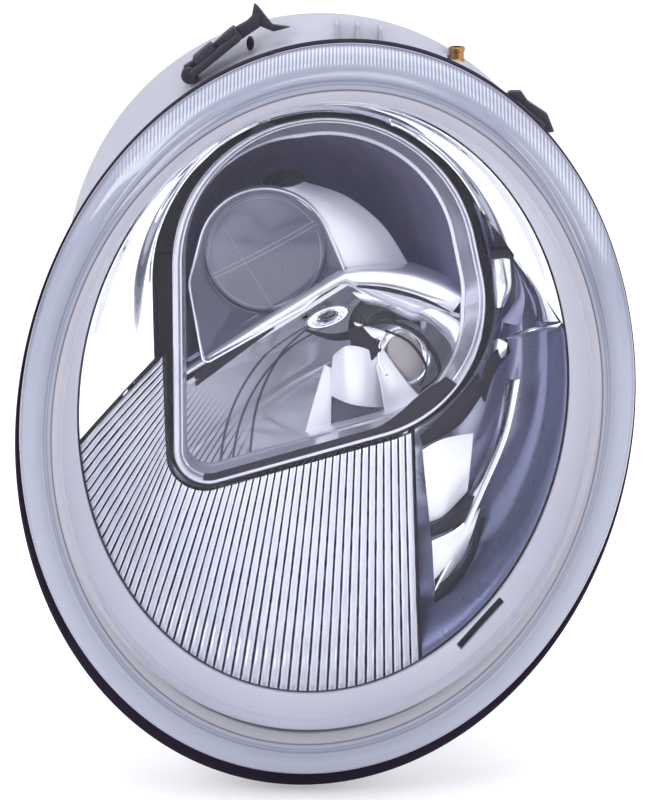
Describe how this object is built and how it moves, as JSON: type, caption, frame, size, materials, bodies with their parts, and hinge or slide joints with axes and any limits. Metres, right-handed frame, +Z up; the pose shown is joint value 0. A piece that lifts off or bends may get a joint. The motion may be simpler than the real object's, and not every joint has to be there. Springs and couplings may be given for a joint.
{
  "type": "car headlight assembly",
  "caption": "Oval car headlamp with a clear domed lens, an aimable round lamp pod, a fluted turn signal panel and a rear service cap.",
  "frame": {"origin": "centre of the oval lens flange, in the plane of the seat that the wing opening meets", "axes": "+Z up, -Y towards the front that the lamp lights, +X to the right seen from the front"},
  "size_m": [0.2446, 0.1853, 0.3125],
  "materials": {
    "clear_lens": "clear polished polycarbonate",
    "fluted_clear": "clear fluted acrylic",
    "black_rubber": "satin black rubber",
    "grey_plastic": "pale grey moulded plastic",
    "bezel_plastic": "pale silver paint on plastic",
    "bright_chrome": "bright vacuum metallised plastic",
    "smoked_glass": "smoked domed glass",
    "black_plastic": "black moulded plastic",
    "bare_steel": "bright steel wire and pins",
    "bulb_glass": "clear quartz glass",
    "amber_glass": "amber bulb glass",
    "brass": "plain brass",
    "white_plastic": "natural white moulded plastic"
  },
  "bodies": {
    "housing_body": {"housing": "grey_plastic", "lens": "clear_lens", "lens_gasket": "black_rubber", "inner_bezel": "bezel_plastic", "chrome_bezel": "bright_chrome", "signal_lens": "fluted_clear", "signal_reflector": "bright_chrome", "side_reflector": "bright_chrome", "lens_clip_1": "grey_plastic", "lens_clip_2": "grey_plastic", "lens_clip_3": "grey_plastic", "lens_clip_4": "grey_plastic", "lens_clip_5": "grey_plastic", "lens_clip_6": "grey_plastic", "upper_left_bracket": "black_plastic", "upper_right_bracket": "black_plastic", "brass_bush": "brass", "lower_left_lug": "grey_plastic", "lower_right_lug": "grey_plastic", "upper_swivel_pin": "bare_steel", "lower_swivel_pin": "bare_steel", "level_motor": "black_plastic", "motor_socket": "black_plastic", "main_socket": "black_plastic", "breather_cap": "black_plastic"},
    "frame_body": {"aiming_frame": "black_plastic", "left_tilt_pin": "bare_steel", "right_tilt_pin": "bare_steel", "side_nut": "white_plastic"},
    "pod_body": {"pod_ring": "bright_chrome", "reflector_carrier": "black_plastic", "upper_reflector": "bright_chrome", "lower_reflector": "bright_chrome", "crest": "bright_chrome", "high_beam_bezel": "bright_chrome", "high_beam_lens": "smoked_glass", "high_beam_bulb": "bulb_glass", "high_beam_plug": "black_plastic", "low_beam_bulb": "bulb_glass", "low_beam_plug": "black_plastic", "low_beam_hood": "bright_chrome", "parking_bulb": "bulb_glass", "parking_holder": "white_plastic", "height_nut": "white_plastic"},
    "low_clip_body": {"low_beam_clip": "bare_steel"},
    "high_clip_body": {"high_beam_clip": "bare_steel"},
    "rod_body": {"motor_rod": "white_plastic"},
    "height_screw_body": {"height_adjuster": "white_plastic"},
    "side_screw_body": {"side_adjuster": "white_plastic"},
    "rear_cap_body": {"rear_cap": "black_plastic", "rear_cap_seal": "black_rubber"},
    "signal_lamp_body": {"signal_holder": "grey_plastic", "signal_bulb": "amber_glass"}
  },
  "joints": [
    {"name": "frame_swivel", "type": "hinge", "parent": "housing_body", "child": "frame_body", "pos_m": [0, 0.07, 0.046], "axis": [0, 0, 1], "range_deg": [-2, 2]},
    {"name": "pod_tilt", "type": "hinge", "parent": "frame_body", "child": "pod_body", "pos_m": [0, 0.07, 0.046], "axis": [1, 0, 0], "range_deg": [-2.5, 2.5]},
    {"name": "motor_rod_slide", "type": "slide", "parent": "housing_body", "child": "rod_body", "axis": [0, 1, 0], "range_m": [-0.0032, 0.0032]},
    {"name": "height_adjuster_turn", "type": "hinge", "parent": "housing_body", "child": "height_screw_body", "pos_m": [-0.03, 0.1, 0.1135], "axis": [0, 1, 0], "range_deg": [-360, 360]},
    {"name": "side_adjuster_turn", "type": "hinge", "parent": "housing_body", "child": "side_screw_body", "pos_m": [0.06, 0.1, 0.093], "axis": [0, 1, 0], "range_deg": [-270, 270]},
    {"name": "rear_cap_turn", "type": "hinge", "parent": "housing_body", "child": "rear_cap_body", "pos_m": [0, 0.112, 0.036], "axis": [0, 1, 0], "range_deg": [0, 30]},
    {"name": "signal_holder_turn", "type": "hinge", "parent": "housing_body", "child": "signal_lamp_body", "pos_m": [-0.03, 0.082, -0.078], "axis": [0, 1, 0], "range_deg": [0, 45]},
    {"name": "low_beam_clip_swing", "type": "hinge", "parent": "pod_body", "child": "low_clip_body", "pos_m": [0.024, 0.1016, -0.004], "axis": [-1, 0, 0], "range_deg": [0, 50]},
    {"name": "high_beam_clip_swing", "type": "hinge", "parent": "pod_body", "child": "high_clip_body", "pos_m": [-0.016, 0.1016, 0.085], "axis": [1, 0, 0], "range_deg": [0, 50]}
  ],
  "couplings": [
    {"joint": "motor_rod_slide", "follows": "pod_tilt", "m_per_rad": 0.0665},
    {"joint": "height_adjuster_turn", "follows": "pod_tilt", "ratio": -141.37},
    {"joint": "side_adjuster_turn", "follows": "frame_swivel", "ratio": 125.66}
  ]
}
